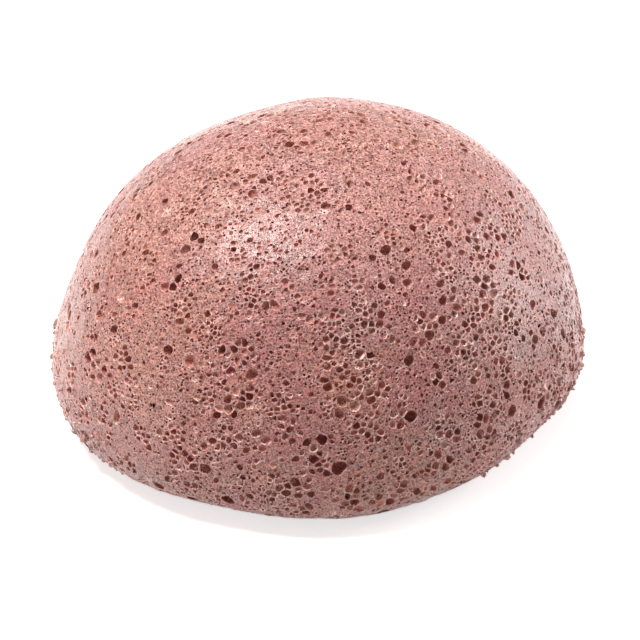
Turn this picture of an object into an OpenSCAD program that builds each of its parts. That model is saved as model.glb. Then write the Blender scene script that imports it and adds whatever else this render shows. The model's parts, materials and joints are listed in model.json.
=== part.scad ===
// Konjac sponge for washing the face, in the half-ball form.
// The real sponge is one piece. Konjac gel is whipped to a foam, set in a cup-shaped mould, then frozen
// and thawed, which leaves an open-celled sponge with a domed side from the mould and one flat face.
// It stands on the flat face, with the origin at the middle of that face and +Z up through the crown.

/* [Body] */
// Diameter at the widest part, one edge radius above the flat face
sponge_d = 80; // [72:1:92]
// Height of the crown above the flat face
sponge_h = 42; // [38:1:48]
// Radius of the soft edge between the dome and the flat face
edge_r = 7; // [4:0.5:9]

/* [Large pores] */
// Diameter of the widest bubble that burst at the surface
pore_d_max = 2.8; // [2:0.1:3.2]
// Diameter of the narrowest bubble modelled here, low on the dome
pore_d_min = 1.2; // [0.8:0.1:1.8]
// Share by which bubbles at the crown are narrower than those low on the dome
crown_fine_share = 0.4; // [0:0.05:0.6]
// Depth of a bubble's middle below the surface, as a share of its radius
pore_sink_share = 0.3; // [0.1:0.05:0.6]
// Number of large pores in the dome
dome_pores = 250; // [60:10:280]
// Number of large pores round the soft edge
edge_pores = 44; // [12:2:48]
// Number of large pores in the flat face
face_pores = 90; // [20:10:110]
// How far a pore may stray from its even spacing, as a share of that spacing
pore_stray_share = 0.35; // [0:0.05:0.4]

/* [Hidden] */
$fn = 96;

// Curve count of one bubble
pore_fn = 24;

// How strongly small bubbles outnumber large ones: at 1, every size is as common
pore_bias = 2.5;

// The dome is one arc that runs into the edge's arc without a corner. These are its radius and the
// height of its middle, from the two arcs touching where their middles and the contact point line up.
body_r = sponge_d / 2;
edge_x = body_r - edge_r;
dome_r = (edge_x * edge_x + (sponge_h - edge_r) * (sponge_h - edge_r) - edge_r * edge_r)
    / (2 * (sponge_h - 2 * edge_r));
dome_z = sponge_h - dome_r;

// Elevation, seen from the dome's middle, at which the dome's arc meets the edge's arc, and its height
join_angle = atan2(edge_r - dome_z, edge_x);
join_z = edge_r * (1 + sin(join_angle));

// Bubbles keep this far from the ends of each surface, so that none of them meet
pore_clear = pore_d_max;

// Tilts that bound the bubbles round the edge: 90 faces outward and 180 faces down
edge_tilt_min = 96;
edge_tilt_max = 140;

// Share from 0 to 1 that looks drawn by chance but is always the same for one index and one draw
function chance(i, draw) = let (x = sin(i * 78.233 + draw * 37.719) * 43758.5453) x - floor(x);

// Most pores are small and few are large
function pore_r(i, draw) = (pore_d_min + (pore_d_max - pore_d_min) * pow(chance(i, draw), pore_bias)) / 2;

// Azimuth of the pore with this index: each is a golden angle on from the last
golden_angle = 180 * (3 - sqrt(5));

// Half-profile of the sponge, to the right of its axis
module profile() {
    difference() {
        union() {
            intersection() {
                translate([0, dome_z]) circle(r = dome_r);
                translate([0, join_z]) square([body_r, sponge_h]);
            }
            translate([edge_x, edge_r]) circle(r = edge_r);
            square([edge_x, 2 * edge_r]);
        }
        translate([-sponge_d, -sponge_h]) square([sponge_d, 3 * sponge_h]);
    }
}

module blank() {
    rotate_extrude() profile();
}

// A bubble sunk below a surface that faces along +Z and passes through the origin
module pore(r) {
    translate([0, 0, -r * pore_sink_share]) sphere(r = r, $fn = pore_fn);
}

// Pores spread evenly over the dome by height, as equal heights of a ball have equal areas
module dome_openings() {
    low = sin(join_angle) + pore_clear / dome_r;
    for (i = [0 : dome_pores - 1]) {
        height = low + (1 - low) * (i + chance(i, 1)) / dome_pores;
        stray = pore_stray_share * (chance(i, 6) - 0.5) * 360 / sqrt(dome_pores);
        rotate([0, 0, i * golden_angle + stray])
            translate([0, 0, dome_z])
                rotate([0, 90 - asin(height), 0])
                    translate([0, 0, dome_r]) pore(pore_r(i, 2) * (1 - crown_fine_share * height));
    }
}

// One row round the edge, each pore at its own height on the edge's arc
module edge_openings() {
    for (i = [0 : edge_pores - 1]) {
        tilt = edge_tilt_min + (edge_tilt_max - edge_tilt_min) * chance(i, 3);
        rotate([0, 0, (i + pore_stray_share * chance(i, 7)) * 360 / edge_pores])
            translate([edge_x, 0, edge_r])
                rotate([0, tilt, 0])
                    translate([0, 0, edge_r]) pore(pore_r(i, 4));
    }
}

module face_openings() {
    for (i = [0 : face_pores - 1]) {
        reach = (edge_x - pore_clear) * sqrt((i + 1) / face_pores);
        rotate([0, 0, i * golden_angle])
            translate([reach, 0, 0])
                rotate([180, 0, 0]) pore(pore_r(i, 5));
    }
}

module sponge_body() {
    color([0.85, 0.62, 0.58])
        difference() {
            blank();
            dome_openings();
            edge_openings();
            face_openings();
        }
}

sponge_body();
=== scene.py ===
import json
import math
import bpy
import numpy as np
from mathutils import Matrix, Vector, kdtree, noise
from mathutils.bvhtree import BVHTree

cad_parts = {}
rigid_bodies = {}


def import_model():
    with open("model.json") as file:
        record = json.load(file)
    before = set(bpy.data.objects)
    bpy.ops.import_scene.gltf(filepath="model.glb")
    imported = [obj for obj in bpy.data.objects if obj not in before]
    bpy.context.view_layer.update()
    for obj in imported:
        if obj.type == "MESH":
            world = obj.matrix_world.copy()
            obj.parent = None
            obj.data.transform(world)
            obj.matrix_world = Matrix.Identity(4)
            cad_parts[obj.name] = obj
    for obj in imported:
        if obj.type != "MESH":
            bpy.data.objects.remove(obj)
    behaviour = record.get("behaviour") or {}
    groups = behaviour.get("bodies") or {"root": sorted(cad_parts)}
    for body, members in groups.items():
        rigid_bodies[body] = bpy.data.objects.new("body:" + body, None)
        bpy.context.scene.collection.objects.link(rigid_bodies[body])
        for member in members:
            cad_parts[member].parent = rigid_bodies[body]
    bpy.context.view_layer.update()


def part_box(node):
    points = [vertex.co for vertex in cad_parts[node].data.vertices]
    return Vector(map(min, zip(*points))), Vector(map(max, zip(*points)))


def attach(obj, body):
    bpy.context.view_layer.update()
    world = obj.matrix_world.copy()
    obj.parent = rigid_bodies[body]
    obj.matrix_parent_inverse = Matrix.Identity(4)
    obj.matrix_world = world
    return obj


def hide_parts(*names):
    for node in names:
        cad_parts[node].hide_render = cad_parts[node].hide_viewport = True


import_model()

# The sponge
# The real one is a single block of konjac gel foam, cast in a cup: a domed side from the cup, a flat face
# from the gel's own level, and a soft edge between them. Its plain form comes first, at the solid's size.
MM = 0.001
low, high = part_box("sponge_body")
BODY_RADIUS = (high.x - low.x) / 2
BODY_HEIGHT = high.z - low.z
EDGE_RADIUS = 7 * MM
EDGE_STEPS = 10
BALL_SEGMENTS = 96
BALL_RINGS = 48
FOAM_VOXEL = 0.8 * MM
# Keeps a length that may be 0 from being divided by
TINY = 1e-9

edge_reach = BODY_RADIUS - EDGE_RADIUS
dome_radius = (edge_reach**2 + (BODY_HEIGHT - EDGE_RADIUS) ** 2 - EDGE_RADIUS**2) / (
    2 * (BODY_HEIGHT - 2 * EDGE_RADIUS)
)
dome_middle = Vector((0, 0, BODY_HEIGHT - dome_radius))
join_angle = math.atan2(EDGE_RADIUS - dome_middle.z, edge_reach)

bpy.ops.object.select_all(action="DESELECT")
bpy.ops.mesh.primitive_uv_sphere_add(
    segments=BALL_SEGMENTS, ring_count=BALL_RINGS, radius=dome_radius, location=dome_middle
)
sponge = bpy.context.active_object
sponge.name = "sponge_foam"
sponge.data.name = "sponge_foam"
bpy.ops.object.transform_apply()
bpy.ops.object.mode_set(mode="EDIT")
bpy.ops.mesh.select_all(action="SELECT")
join_height = EDGE_RADIUS * (1 + math.sin(join_angle))
bpy.ops.mesh.bisect(plane_co=(0, 0, join_height), plane_no=(0, 0, -1), clear_outer=True)
ring = edge_reach + EDGE_RADIUS * math.cos(join_angle)
level = join_height
for step in range(1, EDGE_STEPS + 1):
    tilt = join_angle - (join_angle + math.pi / 2) * step / EDGE_STEPS
    next_ring = edge_reach + EDGE_RADIUS * math.cos(tilt)
    next_level = EDGE_RADIUS * (1 + math.sin(tilt))
    bpy.ops.mesh.extrude_edges_move(TRANSFORM_OT_translate={"value": (0, 0, next_level - level)})
    share = next_ring / ring
    bpy.ops.transform.resize(value=(share, share, 1), center_override=(0, 0, 0))
    ring, level = next_ring, next_level
bpy.ops.mesh.edge_face_add()
bpy.ops.mesh.select_all(action="SELECT")
bpy.ops.mesh.normals_make_consistent(inside=False)
bpy.ops.object.mode_set(mode="OBJECT")


def finish_with(piece, kind, **settings):
    """Adds one modifier to the piece and applies it."""
    modifier = piece.modifiers.new(kind.lower(), kind)
    for name, value in settings.items():
        setattr(modifier, name, value)
    bpy.context.view_layer.objects.active = piece
    bpy.ops.object.modifier_apply(modifier=modifier.name)


def places(mesh):
    """The mesh's vertex positions as an array."""
    found = np.empty(len(mesh.vertices) * 3)
    mesh.vertices.foreach_get("co", found)
    return found.reshape(-1, 3)


def ease(share):
    """Rises smoothly from 0 to 1 as share does."""
    share = np.clip(share, 0, 1)
    return share * share * (3 - 2 * share)


finish_with(sponge, "REMESH", mode="VOXEL", voxel_size=FOAM_VOXEL)

# Broad swells and hollows of the foam: azimuth and elevation in degrees seen from the middle of the edge's
# circle, how many mm the foam stands out there, and how many degrees round that place it spreads
SWELLS = [
    (-4, 0, -0.8, 14),
    (-39, -7, -0.6, 14),
    (-82, -9, 0.45, 16),
    (-118, -8, -0.6, 16),
    (-165, -1, 0.65, 20),
    (168, 17, -0.45, 16),
    (114, 53, -0.6, 18),
    (48, 46, 0.55, 22),
    (20, 27, 0.4, 14),
]
DENT_SIZE = 14 * MM
DENT_DEPTH = 0.35 * MM
LUMP_SIZE = 1.6 * MM
LUMP_DEPTH = 0.14 * MM


def drift(points, size):
    """Smooth noise at each point, roughly from -1 to 1, with lumps of that size."""
    return np.array([noise.noise(Vector(p) / size) for p in points])


def facing_out(mesh):
    """The mesh's vertex normals as an array."""
    found = np.empty(len(mesh.vertices) * 3)
    mesh.vertices.foreach_get("normal", found)
    return found.reshape(-1, 3)


at = places(sponge.data)
push = np.zeros(len(at))
from_middle = at - np.array([0, 0, EDGE_RADIUS])
from_middle /= np.linalg.norm(from_middle, axis=1)[:, None] + TINY
for azimuth, elevation, stand, spread in SWELLS:
    a, e = math.radians(azimuth), math.radians(elevation)
    toward = np.array([math.cos(a) * math.cos(e), math.sin(a) * math.cos(e), math.sin(e)])
    off = np.degrees(np.arccos(np.clip(from_middle @ toward, -1, 1)))
    push += stand * MM * np.exp(-((off / spread) ** 2))
off_floor = ease(at[:, 2] / EDGE_RADIUS)
push += off_floor * DENT_DEPTH * drift(at, DENT_SIZE) + LUMP_DEPTH * drift(at, LUMP_SIZE)
at += facing_out(sponge.data) * push[:, None]
at[:, 2] = np.maximum(at[:, 2], 0)
sponge.data.vertices.foreach_set("co", at.ravel())
sponge.data.update()
plain_form = BVHTree.FromPolygons(at.tolist(), [list(p.vertices) for p in sponge.data.polygons])

# The map to bake through: the domed side is laid flat from the crown out, and fills most of the square. The
# flat face fills a strip beside it.
DOME_STRIP = (0.0, 0.765)
FACE_STRIP = (0.77, 1.0)
FACE_REACH = edge_reach + EDGE_RADIUS / 3
LOWEST_VIEW = math.radians(103)
DOWN_FACING = -0.9


def laid_flat(points, on_face):
    """Where each point near the plain form lies on the map. on_face tells which are on the flat face."""
    level = points[:, 2] - EDGE_RADIUS
    reach = np.hypot(points[:, 0], points[:, 1])
    from_crown = np.arctan2(reach, level)
    across = np.where(on_face, reach / FACE_REACH, np.sin(from_crown / 2) / math.sin(LOWEST_VIEW / 2))
    across = np.minimum(across, 1)
    turn = np.arctan2(points[:, 1], points[:, 0])
    # Each quarter of the disc fills a quarter of the square, and equal areas stay equal
    quarter = np.floor((turn + math.pi / 4) / (math.pi / 2))
    rest = (turn - quarter * math.pi / 2) / (math.pi / 4)
    quarter = quarter.astype(int) % 4
    ahead, aside = across, across * rest
    x = np.choose(quarter, [ahead, -aside, -ahead, aside])
    y = np.choose(quarter, [aside, ahead, -aside, -ahead])
    low = np.where(on_face, FACE_STRIP[0], DOME_STRIP[0])
    high = np.where(on_face, FACE_STRIP[1], DOME_STRIP[1])
    return np.stack([(x + 1) / 2, low + (high - low) * (y + 1) / 2], axis=1)


def lay_out(mesh, points, on_face):
    """Gives the mesh its map from points, one for each corner, that stand for its corners there."""
    layer = mesh.uv_layers.new(name="OFBake")
    layer.data.foreach_set("uv", laid_flat(points, on_face).ravel())


def corners_of(mesh):
    """The vertex at each corner of the mesh's faces, and how many corners each face has."""
    corner = np.empty(len(mesh.loops), dtype=np.int32)
    mesh.loops.foreach_get("vertex_index", corner)
    sides = np.empty(len(mesh.polygons), dtype=np.int32)
    mesh.polygons.foreach_get("loop_total", sides)
    return corner, sides


corner, sides = corners_of(sponge.data)
downward = np.array([p.normal.z < DOWN_FACING for p in sponge.data.polygons])
lay_out(sponge.data, at[corner], np.repeat(downward, sides))

# The pores
# Each is a gas bubble in the gel that the surface cuts open. Bubbles that lie close pressed flats on each
# other, so they are clipped halfway, less the thin gel wall that parts them.
BUBBLE_SHAPES = 8
FLATS = 9
FLAT_AT = (0.62, 0.9)
STRETCH = (0.8, 1.25)
SMALL_BIAS = 1.7
LARGE_DETAIL = 3
CELL_DETAIL = 2
FINEST_DETAIL = 1
MOST_NEIGHBOURS = 16
LEAST_REACH = 0.25
SEED = 20
chance = np.random.default_rng(SEED)

# Tone of a cell's inside, from dark to pale: cells with a radius up to the first are dark, with painted
# shade
LEAST_TONE = 0.05
DARK_RADII = (0.2 * MM, 0.5 * MM)
WIDE_TONES = (0.3, 1.0)
SHALLOW = 0.45 * MM
LEAST_FLOOR = SHALLOW / 20
MOST_CUT_SHARE = 0.95

# Where the foam is fine or coarse: at the crown and on the left side, over zones, and over small clusters
CROWN_RISE = (0.68, 1.03)
LEFT_RISE = (0.45, 0.85)
LOW_COARSENESS = 0.85
CROWN_LOSS = 0.65
LEFT_LOSS = 0.6
ZONE_SIZE = 17 * MM
ZONE_DRIFT = 0.6
LEAST_IN_ZONE = 0.05
CLUSTER_SIZE = 4.5 * MM
CLUSTER_COARSENESS = 0.6
CLUSTER_DRIFT = 1.4
LEAST_IN_CLUSTER = 0.1


def bubble_shape(detail):
    """Corners and faces of one bubble that fits in a ball of radius 1."""
    bpy.ops.mesh.primitive_ico_sphere_add(subdivisions=detail, radius=1)
    ball = bpy.context.active_object
    corners = places(ball.data)
    faces = np.array([p.vertices[:] for p in ball.data.polygons])
    bpy.data.meshes.remove(ball.data)
    for _ in range(FLATS):
        facing = chance.normal(size=3)
        facing /= np.linalg.norm(facing)
        beyond = np.maximum(corners @ facing - chance.uniform(*FLAT_AT), 0)
        corners = corners - beyond[:, None] * facing
    corners = corners * chance.uniform(*STRETCH, 3)
    return corners / np.linalg.norm(corners, axis=1).max(), faces


def any_turns(count):
    """That many rotation matrices, evenly spread over all directions."""
    turn = chance.normal(size=(4, count))
    w, x, y, z = turn / np.linalg.norm(turn, axis=0)
    rows = [
        [1 - 2 * (y * y + z * z), 2 * (x * y - z * w), 2 * (x * z + y * w)],
        [2 * (x * y + z * w), 1 - 2 * (x * x + z * z), 2 * (y * z - x * w)],
        [2 * (x * z - y * w), 2 * (y * z + x * w), 1 - 2 * (x * x + y * y)],
    ]
    return np.array(rows).transpose(2, 0, 1)


def on_surface(mesh, count):
    """That many chance points on the mesh, evenly by area, with the surface's normals there."""
    mesh.calc_loop_triangles()
    corner = np.empty(len(mesh.loop_triangles) * 3, dtype=np.int32)
    mesh.loop_triangles.foreach_get("vertices", corner)
    a, b, c = (places(mesh)[corner.reshape(-1, 3)[:, k]] for k in range(3))
    normal = np.cross(b - a, c - a)
    doubled = np.linalg.norm(normal, axis=1)
    share = np.cumsum(doubled) / doubled.sum()
    pick = np.minimum(np.searchsorted(share, chance.random(count)), len(share) - 1)
    u, v = chance.random(count), chance.random(count)
    folded = u + v > 1
    u[folded], v[folded] = 1 - u[folded], 1 - v[folded]
    point = a[pick] + u[:, None] * (b - a)[pick] + v[:, None] * (c - a)[pick]
    return point, normal[pick] / (doubled[pick, None] + TINY**2)


def coarseness(points):
    """How coarse the foam is at each point, from 0 to 1. It is finer at the crown and on the left side."""
    crown = ease((points[:, 2] / BODY_HEIGHT - CROWN_RISE[0]) / (CROWN_RISE[1] - CROWN_RISE[0]))
    left = ease((-points[:, 0] / BODY_RADIUS - LEFT_RISE[0]) / (LEFT_RISE[1] - LEFT_RISE[0]))
    broad = LOW_COARSENESS - CROWN_LOSS * crown - LEFT_LOSS * left * (1 - crown)
    broad = broad + ZONE_DRIFT * drift(points, ZONE_SIZE)
    local = CLUSTER_COARSENESS + CLUSTER_DRIFT * drift(points, CLUSTER_SIZE)
    return np.clip(broad, LEAST_IN_ZONE, 1) * np.clip(local, LEAST_IN_CLUSTER, 1)


def close_pack(middles, radii, wall, pack):
    """Which bubbles stay, taken in turn: those no nearer to one that stays than pack times the sum of their
    radii. Also the flats of each where it presses on others: their directions, and their reach from the
    middle in metres."""
    tree = kdtree.KDTree(len(middles))
    for i, middle in enumerate(middles):
        tree.insert(middle, i)
    tree.balance()
    widest = radii.max()
    stays = np.zeros(len(middles), dtype=bool)
    facing = np.zeros((len(middles), MOST_NEIGHBOURS, 3))
    reach = np.full((len(middles), MOST_NEIGHBOURS), np.inf)
    used = np.zeros(len(middles), dtype=int)
    for i, middle in enumerate(middles):
        found = []
        for near, j, gap in tree.find_range(middle, radii[i] + widest + wall):
            if not stays[j] or gap > radii[i] + radii[j] + wall:
                continue
            mine = (gap + (radii[i] ** 2 - radii[j] ** 2) / gap - wall) / 2
            theirs = gap - wall - mine
            if (
                gap < pack * (radii[i] + radii[j])
                or mine < LEAST_REACH * radii[i]
                or theirs < LEAST_REACH * radii[j]
                or used[j] == MOST_NEIGHBOURS
            ):
                break
            found.append((j, (near - Vector(middle)) / gap, mine, theirs))
        else:
            if len(found) <= MOST_NEIGHBOURS:
                stays[i] = True
                for j, toward, mine, theirs in found:
                    facing[i, used[i]], reach[i, used[i]] = toward, mine
                    facing[j, used[j]], reach[j, used[j]] = -toward, theirs
                    used[i] += 1
                    used[j] += 1
    return stays, facing, reach


def open_pores(body, sizes, wall, pack, given=None, way="DIFFERENCE", marked=True):
    """Cuts bubbles into the body. Each of sizes is the smallest and largest radius, how many are tried, what
    share of them stays where the foam is fine, how deep their middles may lie as shares of the radius, and
    the detail. given is more bubbles with a place of their own, as middles, radii and details. If marked,
    the faces of the bubbles keep their tone, and the points their depth. A shallow cell's depths are scaled
    up, so that its lip stays narrow."""
    middles, radii, details = [], [], []
    if given is not None:
        middles.append(given[0])
        radii.append(given[1])
        details.append(np.broadcast_to(given[2], len(given[1])))
    for smallest, largest, count, fine_share, sink, detail in sizes:
        point, normal = on_surface(body.data, count)
        kept = chance.random(count) < fine_share + (1 - fine_share) * coarseness(point)
        point, normal, count = point[kept], normal[kept], kept.sum()
        radius = smallest + (largest - smallest) * chance.random(count) ** SMALL_BIAS
        middles.append(point - normal * (radius * chance.uniform(*sink, count))[:, None])
        radii.append(radius)
        details.append(np.full(count, detail))
    middles, radii, details = np.vstack(middles), np.concatenate(radii), np.concatenate(details)
    stays, facing, reach = close_pack(middles, radii, wall, pack)
    middles, radii, details, facing, reach = (v[stays] for v in (middles, radii, details, facing, reach))
    nearest = [plain_form.find_nearest(middle) for middle in middles]
    outward = np.array([n[1] for n in nearest])
    over = ((np.array([n[0] for n in nearest]) - middles) * outward).sum(axis=1)
    over = np.clip(over, -MOST_CUT_SHARE * radii, MOST_CUT_SHARE * radii)
    tones = ease((radii - DARK_RADII[0]) / (DARK_RADII[1] - DARK_RADII[0]))
    tones = np.maximum(tones * chance.uniform(*WIDE_TONES, len(radii)), LEAST_TONE)
    corners, faces, shown, depths, on_map, whose, used = [], [], [], [], [], [], 0
    for detail in np.unique(details):
        which = np.where(details == detail, chance.integers(BUBBLE_SHAPES, size=len(radii)), -1)
        for k in range(BUBBLE_SHAPES):
            shape, shape_faces = bubble_shape(int(detail))
            mine = which == k
            reached = radii[mine][:, None, None] * np.einsum("nij,vj->nvi", any_turns(mine.sum()), shape)
            toward = np.maximum(np.einsum("nvi,nki->nvk", reached, facing[mine]), TINY)
            reached *= np.minimum((reach[mine][:, None] / toward).min(axis=2), 1)[:, :, None]
            starts = used + np.arange(mine.sum()) * len(shape)
            corners.append((middles[mine][:, None] + reached).reshape(-1, 3))
            faces.append((shape_faces[None] + starts[:, None, None]).reshape(-1, 3))
            # On the map, each cell's wall is drawn in toward the middle of its opening, so nothing overlaps
            out, top, wide = outward[mine][:, None], over[mine][:, None], radii[mine][:, None]
            rise = (reached * out).sum(axis=2)
            drawn_in = np.sqrt((wide - top) / (wide - np.minimum(rise, top)))
            flat = (reached - rise[:, :, None] * out) * drawn_in[:, :, None] + top[:, :, None] * out
            on_map.append((middles[mine][:, None] + flat).reshape(-1, 3))
            floor_depth = np.maximum(top - rise.min(axis=1, keepdims=True), LEAST_FLOOR)
            depths.append(((top - rise) / MM * np.maximum(SHALLOW / floor_depth, 1)).ravel())
            whose.append(np.repeat(outward[mine][:, 2] < DOWN_FACING, len(shape)))
            shown.append(np.repeat(tones[mine], len(shape_faces)))
            used += mine.sum() * len(shape)
    bubbles = bpy.data.meshes.new("bubbles")
    faces = np.vstack(faces)
    bubbles.from_pydata(np.vstack(corners).tolist(), [], faces.tolist())
    lay_out(bubbles, np.vstack(on_map)[faces.ravel()], np.concatenate(whose)[faces.ravel()])
    if marked:
        tone = bubbles.attributes.new("tone", "FLOAT", "FACE")
        tone.data.foreach_set("value", np.concatenate(shown))
        depth = bubbles.attributes.new("depth_mm", "FLOAT", "POINT")
        depth.data.foreach_set("value", np.concatenate(depths))
    cutter = bpy.data.objects.new("bubbles", bubbles)
    bpy.context.scene.collection.objects.link(cutter)
    finish_with(body, "BOOLEAN", operation=way, solver="MANIFOLD", object=cutter)
    bpy.data.meshes.remove(bubbles)


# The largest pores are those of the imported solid, so they keep its sizes and its rule for their places
PORE_WIDEST = 2.8 * MM
PORE_NARROWEST = 1.2 * MM
PORE_BIAS = 2.5
PORE_SINK = 0.3
PORE_STRAY = 0.35
CROWN_FINE = 0.4
DOME_PORES = 250
EDGE_PORES = 44
FACE_PORES = 90
EDGE_TILTS = (math.radians(96), math.radians(140))
GOLDEN_ANGLE = math.pi * (3 - math.sqrt(5))
SHARE_STEP = 78.233
DRAW_STEP = 37.719
SHARE_STRETCH = 43758.5453


def share_of(index, draw):
    """The solid's share from 0 to 1 for one pore and one draw."""
    x = math.sin(math.radians(index * SHARE_STEP + draw * DRAW_STEP)) * SHARE_STRETCH
    return x - math.floor(x)


def pore_radius(index, draw):
    """The solid's radius for one pore."""
    return (PORE_NARROWEST + (PORE_WIDEST - PORE_NARROWEST) * share_of(index, draw) ** PORE_BIAS) / 2


def around(reach, azimuth, level):
    """The point or direction at that reach from the axis, azimuth and level."""
    return Vector((reach * math.cos(azimuth), reach * math.sin(azimuth), level))


def large_pores():
    """Where each large pore opens on the plain form, which way it faces, and its radius."""
    found = []
    lowest = math.sin(join_angle) + PORE_WIDEST / dome_radius
    for i in range(DOME_PORES):
        rise = lowest + (1 - lowest) * (i + share_of(i, 1)) / DOME_PORES
        stray = PORE_STRAY * (share_of(i, 6) - 0.5) * 2 * math.pi / math.sqrt(DOME_PORES)
        facing = around(math.sqrt(1 - rise**2), i * GOLDEN_ANGLE + stray, rise)
        radius = pore_radius(i, 2) * (1 - CROWN_FINE * rise)
        found.append((dome_middle + facing * dome_radius, facing, radius))
    for i in range(EDGE_PORES):
        tilt = EDGE_TILTS[0] + (EDGE_TILTS[1] - EDGE_TILTS[0]) * share_of(i, 3)
        azimuth = (i + PORE_STRAY * share_of(i, 7)) * 2 * math.pi / EDGE_PORES
        facing = around(math.sin(tilt), azimuth, math.cos(tilt))
        point = around(edge_reach, azimuth, EDGE_RADIUS) + facing * EDGE_RADIUS
        found.append((point, facing, pore_radius(i, 4)))
    for i in range(FACE_PORES):
        reach = (edge_reach - PORE_WIDEST) * math.sqrt((i + 1) / FACE_PORES)
        found.append((around(reach, i * GOLDEN_ANGLE, 0), Vector((0, 0, -1)), pore_radius(i, 5)))
    return found


# Low on the sides, cells have broken away in places and left shallow bites with crumbs of foam between:
# azimuth and half-width of each stretch in degrees
BITTEN = [(-166, 26), (-30, 28), (52, 22), (118, 16)]
BITE_LEVELS = (1.2 * MM, 16 * MM)
BITE_RADII = (0.7 * MM, 1.6 * MM)
BITE_TRIES = 9000
BITE_LIFT = (0.5, 0.76)
BITE_WALL = 0.05 * MM
BITE_PACK = 0.6
CRUMB_TRIES = 14000
CRUMB_RADII = (0.13 * MM, 0.7 * MM)
CRUMB_BIAS = 1.8
CRUMB_LIFT = (-0.7, 0.3)
CRUMB_PACK = 0.25
RAGGED_END_SHARE = 0.6


def torn_places(count):
    """Chance points on the torn stretches, with the surface's normals there."""
    point, normal = on_surface(sponge.data, count)
    azimuth = np.degrees(np.arctan2(point[:, 1], point[:, 0]))
    kept = np.zeros(count, dtype=bool)
    for middle, half in BITTEN:
        off = np.abs((azimuth - middle + 180) % 360 - 180)
        kept |= off < half * chance.uniform(RAGGED_END_SHARE, 1, count)
    kept &= (point[:, 2] > BITE_LEVELS[0]) & (point[:, 2] < chance.uniform(*BITE_LEVELS, count))
    return point[kept], normal[kept]


point, normal = torn_places(CRUMB_TRIES)
radius = CRUMB_RADII[0] + (CRUMB_RADII[1] - CRUMB_RADII[0]) * chance.random(len(point)) ** CRUMB_BIAS
lift = radius * chance.uniform(*CRUMB_LIFT, len(point))
at = point + normal * lift[:, None]
at[:, 2] = np.maximum(at[:, 2], radius)
open_pores(sponge, [], 0, CRUMB_PACK, (at, radius, CELL_DETAIL), way="UNION", marked=False)
point, normal = torn_places(BITE_TRIES)
radius = chance.uniform(*BITE_RADII, len(point))
lift = radius * chance.uniform(*BITE_LIFT, len(point))
at = point + normal * lift[:, None]
open_pores(sponge, [], BITE_WALL, BITE_PACK, (at, radius, CELL_DETAIL), marked=False)

# Each large pore keeps its place, moved in or out to the swollen form
FINE_SHAPE_RADIUS = 0.75 * MM
middles, radii, details = [], [], []
for point, facing, radius in large_pores():
    on_form = plain_form.find_nearest(point)[0]
    middles.append([on_form - facing * radius * PORE_SINK])
    radii.append([radius])
    details.append([LARGE_DETAIL if radius > FINE_SHAPE_RADIUS else CELL_DETAIL])

# In places, cells of like size crowd together as in a honeycomb, with only thin walls between
CROWDS = 1900
CROWD_IN_FINE = 0.15
CROWD_PITCH = (0.7 * MM, 1.5 * MM)
PITCH_BIAS = 1.6
CROWD_REACH = (0.7 * MM, 2.1 * MM)
CROWD_ROWS = np.arange(-4, 5)
ROW_STEP = math.sqrt(0.75)
CROWD_STRAY = 0.24
CROWD_FILL = (0.54, 0.86)
CELL_SPREAD = (0.88, 1.1)
CROWD_SINK = (-0.4, 0.35)
across, down = np.meshgrid(CROWD_ROWS, CROWD_ROWS)
lattice = np.stack([across + 0.5 * (down % 2), down * ROW_STEP], axis=-1).reshape(-1, 2)
for point, normal in zip(*on_surface(sponge.data, CROWDS)):
    if chance.random() > CROWD_IN_FINE + coarseness(point[None])[0]:
        continue
    side = np.cross(normal, chance.normal(size=3))
    side /= np.linalg.norm(side)
    along = np.cross(normal, side)
    pitch = CROWD_PITCH[0] + (CROWD_PITCH[1] - CROWD_PITCH[0]) * chance.random() ** PITCH_BIAS
    reaches = chance.uniform(*CROWD_REACH, 2)
    spots = lattice * pitch
    spots += chance.normal(size=spots.shape) * CROWD_STRAY * pitch
    spots = spots[((spots / reaches) ** 2).sum(axis=1) < 1]
    sizes = pitch * chance.uniform(*CROWD_FILL) * chance.uniform(*CELL_SPREAD, len(spots))
    sinks = sizes * chance.uniform(*CROWD_SINK, len(spots))
    middles.append(point + spots[:, :1] * side + spots[:, 1:] * along - sinks[:, None] * normal)
    radii.append(sizes)
    details.append(np.full(len(sizes), CELL_DETAIL))

# Single cells lie between the crowds, and then the finest cells fill the skin that is left
SINGLE_SIZES = [
    (0.45 * MM, 1.10 * MM, 3000, 0.05, (-0.75, 0.3), CELL_DETAIL),
    (0.26 * MM, 0.48 * MM, 26000, 0.25, (-0.6, 0.4), CELL_DETAIL),
]
SINGLE_WALL = 0.08 * MM
SINGLE_PACK = 0.55
FINEST_SIZES = [(0.13 * MM, 0.27 * MM, 80000, 0.5, (-0.5, 0.3), FINEST_DETAIL)]
FINEST_WALL = 0.04 * MM
FINEST_PACK = 0.8
placed = (np.vstack(middles), np.concatenate(radii), np.concatenate(details))
open_pores(sponge, SINGLE_SIZES, SINGLE_WALL, SINGLE_PACK, placed)
open_pores(sponge, FINEST_SIZES, FINEST_WALL, FINEST_PACK)

# What the cuts left loose is washed out of a real sponge
bpy.ops.object.select_all(action="DESELECT")
sponge.select_set(True)
bpy.context.view_layer.objects.active = sponge
top = int(places(sponge.data)[:, 2].argmax())
bpy.ops.object.mode_set(mode="EDIT")
bpy.ops.mesh.select_mode(type="VERT")
bpy.ops.mesh.select_all(action="DESELECT")
bpy.ops.object.mode_set(mode="OBJECT")
sponge.data.vertices[top].select = True
bpy.ops.object.mode_set(mode="EDIT")
bpy.ops.mesh.select_linked()
bpy.ops.mesh.select_all(action="INVERT")
bpy.ops.mesh.delete(type="VERT")
bpy.ops.object.mode_set(mode="OBJECT")

# Points closer than the eye can part are joined, which makes the mesh lighter
LEAST_STEP = 0.05 * MM
finish_with(sponge, "WELD", merge_threshold=LEAST_STEP)
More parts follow.
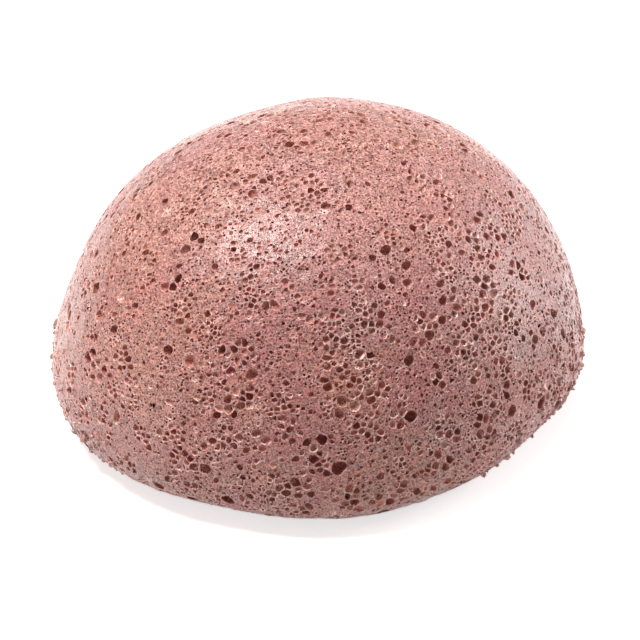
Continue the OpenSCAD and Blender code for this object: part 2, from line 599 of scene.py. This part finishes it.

# The cells' faces get a finish of their own, and each face of the skin tells whether it is a thin web
# between cells: 1 where it is no wider than the first of these, and 0 from the second up. Webs get a painted
# highlight, weaker in fine foam.
WEB_WIDTHS = (0.16 * MM, 0.36 * MM)
WEB_IN_FINE = 0.35
CREASE_ANGLE = math.radians(38)
mesh = sponge.data
tone = np.empty(len(mesh.polygons))
mesh.attributes["tone"].data.foreach_get("value", tone)
in_cell = tone > LEAST_TONE / 2
corner, sides = corners_of(mesh)
first = np.cumsum(sides) - sides
ahead = np.arange(1, len(corner) + 1)
ahead[first + sides - 1] = first
at = places(mesh)
steps = np.linalg.norm(at[corner[ahead]] - at[corner], axis=1)
area = np.empty(len(mesh.polygons))
mesh.polygons.foreach_get("area", area)
width = 4 * area / np.add.reduceat(steps, first)
web = ease((WEB_WIDTHS[1] - width) / (WEB_WIDTHS[1] - WEB_WIDTHS[0])) * ~in_cell
face_middles = np.add.reduceat(at[corner], first) / sides[:, None]
web *= WEB_IN_FINE + (1 - WEB_IN_FINE) * coarseness(face_middles)
mesh.attributes.new("web", "FLOAT", "FACE").data.foreach_set("value", web)
skin = bpy.data.materials.new("konjac_skin")
cells = bpy.data.materials.new("konjac_cells")
mesh.materials.clear()
for material in (skin, cells):
    mesh.materials.append(material)
mesh.polygons.foreach_set("material_index", in_cell.astype(np.int32))
mesh.update()
bpy.ops.object.shade_smooth_by_angle(angle=CREASE_ANGLE)

# The gel's finish
# Pink clay tints the gel. The skin between the large pores is itself a foam of cells too fine to model, some
# burst and some whole. Walls that stand free get a painted highlight, and burst cells get painted shade.


def add(tree, kind, place, **values):
    """Adds a node and sets its unlinked inputs by name."""
    node = tree.nodes.new(kind)
    node.location = place
    for name, value in values.items():
        key = name.replace("_", " ")
        if key in node.inputs:
            node.inputs[key].default_value = value
        else:
            setattr(node, name, value)
    return node


def noise_node(tree, place, where, **values):
    """Adds a noise texture at those coordinates, and returns its output."""
    node = add(tree, "ShaderNodeTexNoise", place, **values)
    tree.links.new(where, node.inputs["Vector"])
    return node.outputs["Fac"]


def math_node(tree, place, operation, first, second=None, third=None):
    """Adds a math node fed by sockets or numbers, and returns its output."""
    node = add(tree, "ShaderNodeMath", place, operation=operation)
    for socket, given in zip(node.inputs, (first, second, third)):
        if isinstance(given, bpy.types.NodeSocket):
            tree.links.new(given, socket)
        elif given is not None:
            socket.default_value = given
    return node.outputs["Value"]


def blend_node(tree, place, share, first, second):
    """Adds a colour mix fed by sockets, numbers or colours, and returns its output."""
    node = add(tree, "ShaderNodeMix", place, data_type="RGBA")
    for key, given in (("Factor", share), ("A", first), ("B", second)):
        if isinstance(given, bpy.types.NodeSocket):
            tree.links.new(given, node.inputs[key])
        elif isinstance(given, tuple):
            node.inputs[key].default_value = (*given, 1)
        else:
            node.inputs[key].default_value = given
    return node.outputs["Result"]


def span(tree, place, value, start, end, low=0.0, high=1.0):
    """Maps the value from start..end to low..high, smoothly and clamped."""
    node = add(
        tree,
        "ShaderNodeMapRange",
        place,
        interpolation_type="SMOOTHSTEP",
        From_Min=start,
        From_Max=end,
        To_Min=low,
        To_Max=high,
    )
    tree.links.new(value, node.inputs["Value"])
    return node.outputs["Result"]


def new_group(name, takes, gives):
    """A shader node group with those sockets, and its input and output nodes."""
    group = bpy.data.node_groups.new(name, "ShaderNodeTree")
    for way, sockets in (("INPUT", takes), ("OUTPUT", gives)):
        for socket, kind in sockets:
            group.interface.new_socket(socket, in_out=way, socket_type="NodeSocket" + kind)
    return group, add(group, "NodeGroupInput", (-1400, 0)), add(group, "NodeGroupOutput", (900, 0))


# Clay colour that drifts over the sponge: salmon, more so to the left, rose, and greyer to the right where
# there is less clay. Toward the crown it is paler.
WARM_SCALE = 70.0
DULL_SCALE = 110.0
WARMER_PER_M = -2.6
DULLER_PER_M = 2.4
WARM_SPAN = (0.42, 0.64)
DULL_SPAN = (0.5, 0.7)
MOST_GREY = 0.85
CROWN_LEVELS = (26 * MM, 41 * MM)
CROWN_PALE = (0.85, 0.50, 0.41)
MOST_CROWN_PALE = 0.3

clay_tint, taken, given = new_group(
    "clay_tint", [("Rose", "Color"), ("Salmon", "Color"), ("Grey", "Color")], [("Tint", "Color")]
)
link = clay_tint.links.new
where = add(clay_tint, "ShaderNodeTexCoord", (-1400, -300)).outputs["Object"]
axes = add(clay_tint, "ShaderNodeSeparateXYZ", (-1100, -700))
link(where, axes.inputs["Vector"])
warm = noise_node(clay_tint, (-1100, -200), where, Scale=WARM_SCALE, Detail=4.0, Roughness=0.6)
dull = noise_node(clay_tint, (-1100, -450), where, Scale=DULL_SCALE, Detail=5.0, Roughness=0.65)
leftward = math_node(clay_tint, (-800, -700), "MULTIPLY", axes.outputs["X"], WARMER_PER_M)
warmth = math_node(clay_tint, (-550, -250), "ADD", warm, leftward)
rightward = math_node(clay_tint, (-800, -900), "MULTIPLY", axes.outputs["X"], DULLER_PER_M)
dullness = math_node(clay_tint, (-550, -500), "ADD", dull, rightward)
salmon_share = span(clay_tint, (-300, -250), warmth, *WARM_SPAN)
grey_share = span(clay_tint, (-300, -500), dullness, *DULL_SPAN, 0.0, MOST_GREY)
crown_share = span(clay_tint, (0, -500), axes.outputs["Z"], *CROWN_LEVELS, 0.0, MOST_CROWN_PALE)
tinted = blend_node(clay_tint, (0, 0), salmon_share, taken.outputs["Rose"], taken.outputs["Salmon"])
tinted = blend_node(clay_tint, (300, 0), grey_share, tinted, taken.outputs["Grey"])
link(blend_node(clay_tint, (600, 0), crown_share, tinted, CROWN_PALE), given.inputs["Tint"])

# A layer of fine cells: some burst open and some whole. Pit is how open the cell is here, and Wall is 1
# along the walls around burst cells. Borders are distances from a cell's wall, as shares of a cell's width.
RIPPLE_SCALE = 1500.0
RIPPLE_REACH = 0.25 * MM
CELL_STRAY = 0.9
PIT_BORDER = (0.04, 0.10)
WALL_BORDER = (0.1, 0.02)
PIT_DEPTHS = (0.35, 1.0)

fine_cells, taken, given = new_group(
    "fine_cells", [("Scale", "Float"), ("Open", "Float")], [("Pit", "Float"), ("Wall", "Float")]
)
link = fine_cells.links.new
where = add(fine_cells, "ShaderNodeTexCoord", (-1400, -300)).outputs["Object"]
ripple = add(fine_cells, "ShaderNodeTexNoise", (-1400, -600), Scale=RIPPLE_SCALE, Detail=1.0)
link(where, ripple.inputs["Vector"])
bent = add(fine_cells, "ShaderNodeVectorMath", (-1150, -500), operation="MULTIPLY_ADD")
link(ripple.outputs["Color"], bent.inputs[0])
bent.inputs[1].default_value = (RIPPLE_REACH, RIPPLE_REACH, RIPPLE_REACH)
link(where, bent.inputs[2])
cell = add(fine_cells, "ShaderNodeTexVoronoi", (-900, -200), feature="F1", Randomness=CELL_STRAY)
border = add(
    fine_cells, "ShaderNodeTexVoronoi", (-900, -500), feature="DISTANCE_TO_EDGE", Randomness=CELL_STRAY
)
for node in (cell, border):
    link(bent.outputs["Vector"], node.inputs["Vector"])
    link(taken.outputs["Scale"], node.inputs["Scale"])
draws = add(fine_cells, "ShaderNodeSeparateColor", (-650, -200))
link(cell.outputs["Color"], draws.inputs["Color"])
burst = math_node(fine_cells, (-400, -100), "LESS_THAN", draws.outputs["Red"], taken.outputs["Open"])
inside = span(fine_cells, (-400, -400), border.outputs["Distance"], *PIT_BORDER)
dish = span(fine_cells, (-400, -650), draws.outputs["Green"], 0.0, 1.0, *PIT_DEPTHS)
pit = math_node(fine_cells, (0, -200), "MULTIPLY", inside, dish)
pit = math_node(fine_cells, (250, -200), "MULTIPLY", pit, burst)
wall = span(fine_cells, (0, -500), border.outputs["Distance"], *WALL_BORDER)
wall = math_node(fine_cells, (250, -500), "MULTIPLY", wall, burst)
link(pit, given.inputs["Pit"])
link(wall, given.inputs["Wall"])


def place_group(tree, place, group, **values):
    """Places a node group and sets its inputs: colours, numbers or sockets."""
    node = add(tree, "ShaderNodeGroup", place, node_tree=group)
    for name, given in values.items():
        if isinstance(given, bpy.types.NodeSocket):
            tree.links.new(given, node.inputs[name])
        else:
            node.inputs[name].default_value = (*given, 1) if isinstance(given, tuple) else given
    return node.outputs


# The skin: clay with a fine grain, with painted shade in two layers of burst cells, and painted highlights
# on their walls, on creases and on the webs between modelled cells. A damp film lies over it, thinner on the
# webs.
SKIN_ROSE = (0.475, 0.170, 0.158)
SKIN_SALMON = (0.53, 0.222, 0.164)
SKIN_GREY = (0.435, 0.227, 0.213)
GRAIN_SCALE = 3600.0
GRAIN_SPAN = (0.36, 0.64)
GRAIN_TONES = (0.58, 1.3)
PATCH_SCALE = 140.0
PATCH_SPAN = (0.35, 0.62)
COARSE_OPEN = (0.12, 0.55)
COARSE_CELLS_PER_M = 2000.0
# Painted shade: the colour that darkens the burst coarse cells of the skin
COARSE_PIT_SHADE = (0.16, 0.025, 0.02)
COARSE_PIT_SHARE = 0.85
FINE_OPEN = 0.5
FINE_CELLS_PER_M = 2800.0
# Painted shade: the colour that darkens the burst fine cells of the skin
FINE_PIT_SHADE = (0.23, 0.042, 0.036)
FINE_PIT_SHARE = 0.7
FINE_PIT_DEPTH = -0.5
CREASE_SCALE = 1700.0
CREASE_SPAN = (1.0, 1.4)
CREASE_SHARE = 0.75
CREASE_RISE = 0.7
WALL_SHARE = 0.6
# Painted highlight: the pale colour on the walls of burst cells and on the raised creases
RIDGE_HIGHLIGHT = (0.86, 0.50, 0.44)
WEB_SHARE = 0.78
# Painted highlight: the pale colour on thin webs between modelled cells
WEB_HIGHLIGHT = (0.90, 0.60, 0.54)
FOLD_SCALE = 3200.0
SKIN_RELIEF = 0.2 * MM
SKIN_SHEEN = 0.25
DAMP_SCALE = 130.0
DAMP_SPAN = (0.4, 0.62)
DAMP_ROUGHNESS = (0.5, 0.3)
FILM_RELIEF = 0.1 * MM
FILM_STRENGTH = 0.7
FILM_WEB_SPAN = (0.05, 0.5)
FILM_WEIGHTS = (0.5, 0.05)
FILM_ROUGHNESS = 0.22

skin.use_nodes = True
tree = skin.node_tree
link = tree.links.new
shader = tree.nodes["Principled BSDF"]
where = add(tree, "ShaderNodeTexCoord", (-1800, 0)).outputs["Object"]
web_mark = add(tree, "ShaderNodeAttribute", (-1500, 700), attribute_name="web").outputs["Fac"]

clay = place_group(tree, (-1000, 300), clay_tint, Rose=SKIN_ROSE, Salmon=SKIN_SALMON, Grey=SKIN_GREY)
grain = noise_node(tree, (-1500, 100), where, Scale=GRAIN_SCALE, Detail=1.0, Roughness=0.5)
grain = span(tree, (-1250, 100), grain, *GRAIN_SPAN, *GRAIN_TONES)
grained = add(tree, "ShaderNodeVectorMath", (-850, 300), operation="SCALE")
link(clay["Tint"], grained.inputs[0])
link(grain, grained.inputs["Scale"])
patches = noise_node(tree, (-1500, -300), where, Scale=PATCH_SCALE, Detail=3.0, Roughness=0.6)
patches = span(tree, (-1250, -300), patches, *PATCH_SPAN, *COARSE_OPEN)
coarse = place_group(tree, (-1000, -200), fine_cells, Scale=COARSE_CELLS_PER_M, Open=patches)
fine = place_group(tree, (-1000, -500), fine_cells, Scale=FINE_CELLS_PER_M, Open=FINE_OPEN)
creases = noise_node(
    tree,
    (-1500, -1000),
    where,
    noise_type="RIDGED_MULTIFRACTAL",
    Scale=CREASE_SCALE,
    Detail=2.0,
    Roughness=0.6,
    Lacunarity=2.2,
    normalize=False,
)
creases = span(tree, (-1250, -1000), creases, *CREASE_SPAN)

share = math_node(tree, (-750, -150), "MULTIPLY", fine["Pit"], FINE_PIT_SHARE)
colour = blend_node(tree, (-700, 200), share, grained.outputs["Vector"], FINE_PIT_SHADE)
share = math_node(tree, (-500, -150), "MULTIPLY", coarse["Pit"], COARSE_PIT_SHARE)
colour = blend_node(tree, (-450, 200), share, colour, COARSE_PIT_SHADE)
walls = math_node(tree, (-500, -350), "MAXIMUM", coarse["Wall"], fine["Wall"])
walls = math_node(tree, (-300, -350), "MULTIPLY", walls, WALL_SHARE)
ridges = math_node(tree, (-500, -500), "MULTIPLY", creases, CREASE_SHARE)
share = math_node(tree, (-150, -350), "MAXIMUM", walls, ridges)
colour = blend_node(tree, (0, 300), share, colour, RIDGE_HIGHLIGHT)
share = math_node(tree, (0, 600), "MULTIPLY", web_mark, WEB_SHARE)
colour = blend_node(tree, (250, 300), share, colour, WEB_HIGHLIGHT)
link(colour, shader.inputs["Base Color"])

folds = noise_node(tree, (-700, -800), where, Scale=FOLD_SCALE, Detail=2.0, Roughness=0.6)
folds = math_node(tree, (-300, -700), "MULTIPLY_ADD", creases, CREASE_RISE, folds)
height = math_node(tree, (-300, -600), "MULTIPLY_ADD", fine["Pit"], FINE_PIT_DEPTH, folds)
height = math_node(tree, (-100, -600), "SUBTRACT", height, coarse["Pit"])
relief = add(tree, "ShaderNodeBump", (100, -500), Strength=1.0, Distance=SKIN_RELIEF)
link(height, relief.inputs["Height"])
link(relief.outputs["Normal"], shader.inputs["Normal"])
damp = noise_node(tree, (-300, -1000), where, Scale=DAMP_SCALE, Detail=3.0, Roughness=0.5)
link(span(tree, (0, -100), damp, *DAMP_SPAN, *DAMP_ROUGHNESS), shader.inputs["Roughness"])
shader.inputs["Specular IOR Level"].default_value = SKIN_SHEEN
film = add(tree, "ShaderNodeBump", (100, -800), Strength=FILM_STRENGTH, Distance=FILM_RELIEF)
link(folds, film.inputs["Height"])
link(film.outputs["Normal"], shader.inputs["Coat Normal"])
link(span(tree, (100, -1000), web_mark, *FILM_WEB_SPAN, *FILM_WEIGHTS), shader.inputs["Coat Weight"])
shader.inputs["Coat Roughness"].default_value = FILM_ROUGHNESS

# The insides of the cells. Small ones are dark with painted shade, wider ones go from wine to taupe by their
# tone. Each has a narrow painted highlight at its lip, burst cells with painted shade in its wall, and
# painted shade that grows with depth in mm.
# Painted shade: the dark colour of small, narrow cells
SMALL_CELL_SHADE = (0.28, 0.05, 0.04)
WINE_ROSE = (0.50, 0.16, 0.14)
WINE_SALMON = (0.54, 0.19, 0.138)
WINE_GREY = (0.42, 0.18, 0.165)
TAUPE_ROSE = (0.54, 0.25, 0.21)
TAUPE_SALMON = (0.60, 0.29, 0.225)
TAUPE_GREY = (0.46, 0.29, 0.235)
WINE_TONES = (0.05, 0.35)
TAUPE_TONES = (0.35, 1.0)
INNER_CELLS_PER_M = 4200.0
INNER_OPEN = 0.4
# Painted shade: the colour that darkens burst cells in the walls of the modelled cells
INNER_PIT_SHADE = (0.22, 0.07, 0.06)
INNER_PIT_SHARE = 0.7
LIP_DEPTHS = (0.15, 0.03)
# Painted highlight: the pale colour at the lip of each cell
LIP_HIGHLIGHT = (0.96, 0.66, 0.60)
DEEP_DEPTHS = (0.25, 1.1)
# Painted shade: the dark colour that grows with a cell's depth
DEPTH_SHADE = (0.15, 0.025, 0.02)
DEPTH_SHADE_SHARE = 0.45
INNER_GRAIN_SCALE = 2600.0
INNER_RELIEF = 0.08 * MM
INNER_RELIEF_STRENGTH = 0.6
INNER_ROUGHNESS = 0.5
INNER_SHEEN = 0.2

cells.use_nodes = True
tree = cells.node_tree
link = tree.links.new
shader = tree.nodes["Principled BSDF"]
where = add(tree, "ShaderNodeTexCoord", (-1800, 0)).outputs["Object"]
depth_mark = add(tree, "ShaderNodeAttribute", (-1500, 700), attribute_name="depth_mm").outputs["Fac"]
tone_mark = add(tree, "ShaderNodeAttribute", (-1500, 500), attribute_name="tone").outputs["Fac"]
inner = place_group(tree, (-1000, -300), fine_cells, Scale=INNER_CELLS_PER_M, Open=INNER_OPEN)
wine = place_group(tree, (-1000, 300), clay_tint, Rose=WINE_ROSE, Salmon=WINE_SALMON, Grey=WINE_GREY)
taupe = place_group(tree, (-1000, 0), clay_tint, Rose=TAUPE_ROSE, Salmon=TAUPE_SALMON, Grey=TAUPE_GREY)
share = span(tree, (-1200, 500), tone_mark, *WINE_TONES)
colour = blend_node(tree, (-950, 200), share, SMALL_CELL_SHADE, wine["Tint"])
share = span(tree, (-950, 500), tone_mark, *TAUPE_TONES)
colour = blend_node(tree, (-700, 200), share, colour, taupe["Tint"])
share = math_node(tree, (-700, -300), "MULTIPLY", inner["Pit"], INNER_PIT_SHARE)
colour = blend_node(tree, (-450, 200), share, colour, INNER_PIT_SHADE)
share = span(tree, (-700, 500), depth_mark, *LIP_DEPTHS)
colour = blend_node(tree, (-200, 200), share, colour, LIP_HIGHLIGHT)
share = span(tree, (-700, 800), depth_mark, *DEEP_DEPTHS, 0.0, DEPTH_SHADE_SHARE)
colour = blend_node(tree, (50, 200), share, colour, DEPTH_SHADE)
link(colour, shader.inputs["Base Color"])
grain = noise_node(tree, (-700, -800), where, Scale=INNER_GRAIN_SCALE, Detail=2.0, Roughness=0.6)
relief = add(tree, "ShaderNodeBump", (100, -500), Strength=INNER_RELIEF_STRENGTH, Distance=INNER_RELIEF)
link(math_node(tree, (-300, -600), "SUBTRACT", grain, inner["Pit"]), relief.inputs["Height"])
link(relief.outputs["Normal"], shader.inputs["Normal"])
shader.inputs["Roughness"].default_value = INNER_ROUGHNESS
shader.inputs["Specular IOR Level"].default_value = INNER_SHEEN

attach(sponge, "root")
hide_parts("sponge_body")

# The camera
# The photograph looks down on the sponge from the front, slightly rolled. Its frame is 640 pixels square,
# and the middle of the sponge's axis is at the named pixel.
PHOTO_PX = 640
MIDDLE_PX = (313.0, 258.7)
PX_PER_M = 6792
VIEW_ELEVATION = math.radians(32.7)
VIEW_DISTANCE = 0.5
VIEW_ROLL = math.radians(-5.5)
SENSOR = 36

bpy.ops.object.camera_add()
camera = bpy.context.active_object
camera.name = "photo_camera"
camera.data.sensor_width = SENSOR
camera.data.lens = SENSOR * PX_PER_M * VIEW_DISTANCE / PHOTO_PX
camera.data.clip_start = 10 * MM
axis_middle = Vector((0, 0, BODY_HEIGHT / 2))
back = Vector((0, -math.cos(VIEW_ELEVATION), math.sin(VIEW_ELEVATION)))
turned = back.to_track_quat("Z", "Y").to_matrix() @ Matrix.Rotation(VIEW_ROLL, 3, "Z")
aim_off = Vector(((PHOTO_PX / 2 - MIDDLE_PX[0]) / PX_PER_M, (MIDDLE_PX[1] - PHOTO_PX / 2) / PX_PER_M, 0))
camera.location = axis_middle + back * VIEW_DISTANCE
aim = axis_middle + turned @ aim_off
camera.rotation_euler = (
    (camera.location - aim).to_track_quat("Z", "Y").to_matrix() @ Matrix.Rotation(VIEW_ROLL, 3, "Z")
).to_euler()
bpy.context.scene.camera = camera

# The floor and the light
# A plain white sweep, as in a light tent. The key lamp is small and hangs above the sponge, to its left, and
# broader, weaker lamps stand above and behind it and at both sides. The floor shows white where it is lit,
# but throws less light than that back up on the sponge.
FLOOR_WIDTH = 3
FLOOR_BOUNCE = (0.68, 0.68, 0.68)
FLOOR_SEEN = (0.85, 0.85, 0.85)
FLOOR_GLOW = 0.66
FLOOR_ROUGHNESS = 0.7
SKY_LIGHT = 0.22

bpy.ops.mesh.primitive_plane_add(size=FLOOR_WIDTH)
floor = bpy.context.active_object
floor.name = "floor"
floor_finish = bpy.data.materials.new("floor_white")
floor_finish.use_nodes = True
tree = floor_finish.node_tree
link = tree.links.new
seen = add(tree, "ShaderNodeLightPath", (-900, 0)).outputs
shown = math_node(tree, (-600, 0), "MAXIMUM", seen["Is Camera Ray"], seen["Is Glossy Ray"])
shown = math_node(tree, (-400, 0), "MAXIMUM", shown, seen["Is Transmission Ray"])
shader = tree.nodes["Principled BSDF"]
shader.inputs["Roughness"].default_value = FLOOR_ROUGHNESS
shader.inputs["Emission Color"].default_value = (1, 1, 1, 1)
link(blend_node(tree, (-200, 100), shown, FLOOR_BOUNCE, FLOOR_SEEN), shader.inputs["Base Color"])
link(math_node(tree, (-200, -200), "MULTIPLY", shown, FLOOR_GLOW), shader.inputs["Emission Strength"])
floor.data.materials.append(floor_finish)


def lamp(name, place, width, watts):
    """A square lamp that faces the sponge's middle."""
    bpy.ops.object.light_add(type="AREA", location=place)
    light = bpy.context.active_object
    light.name = name
    light.data.size = width
    light.data.energy = watts
    light.rotation_euler = (Vector(place) - axis_middle).to_track_quat("Z", "Y").to_euler()


lamp("key_lamp", (-0.19, 0.05, 0.58), 0.17, 4.15)
lamp("overhead_lamp", (0.0, 0.16, 0.58), 0.6, 1.0)
lamp("left_lamp", (-0.55, -0.08, 0.08), 0.3, 0.5)
lamp("right_lamp", (0.55, 0.14, 0.16), 0.3, 2.3)

world = bpy.data.worlds.new("studio")
bpy.context.scene.world = world
world.use_nodes = True
tree = world.node_tree
seen = add(tree, "ShaderNodeLightPath", (-900, 0)).outputs
shown = math_node(tree, (-600, 0), "MAXIMUM", seen["Is Camera Ray"], seen["Is Transmission Ray"])
strength = math_node(tree, (-300, 0), "MULTIPLY_ADD", shown, 1 - SKY_LIGHT, SKY_LIGHT)
sky = tree.nodes["Background"]
sky.inputs["Color"].default_value = (1, 1, 1, 1)
tree.links.new(strength, sky.inputs["Strength"])
bpy.context.scene.view_settings.view_transform = "Standard"
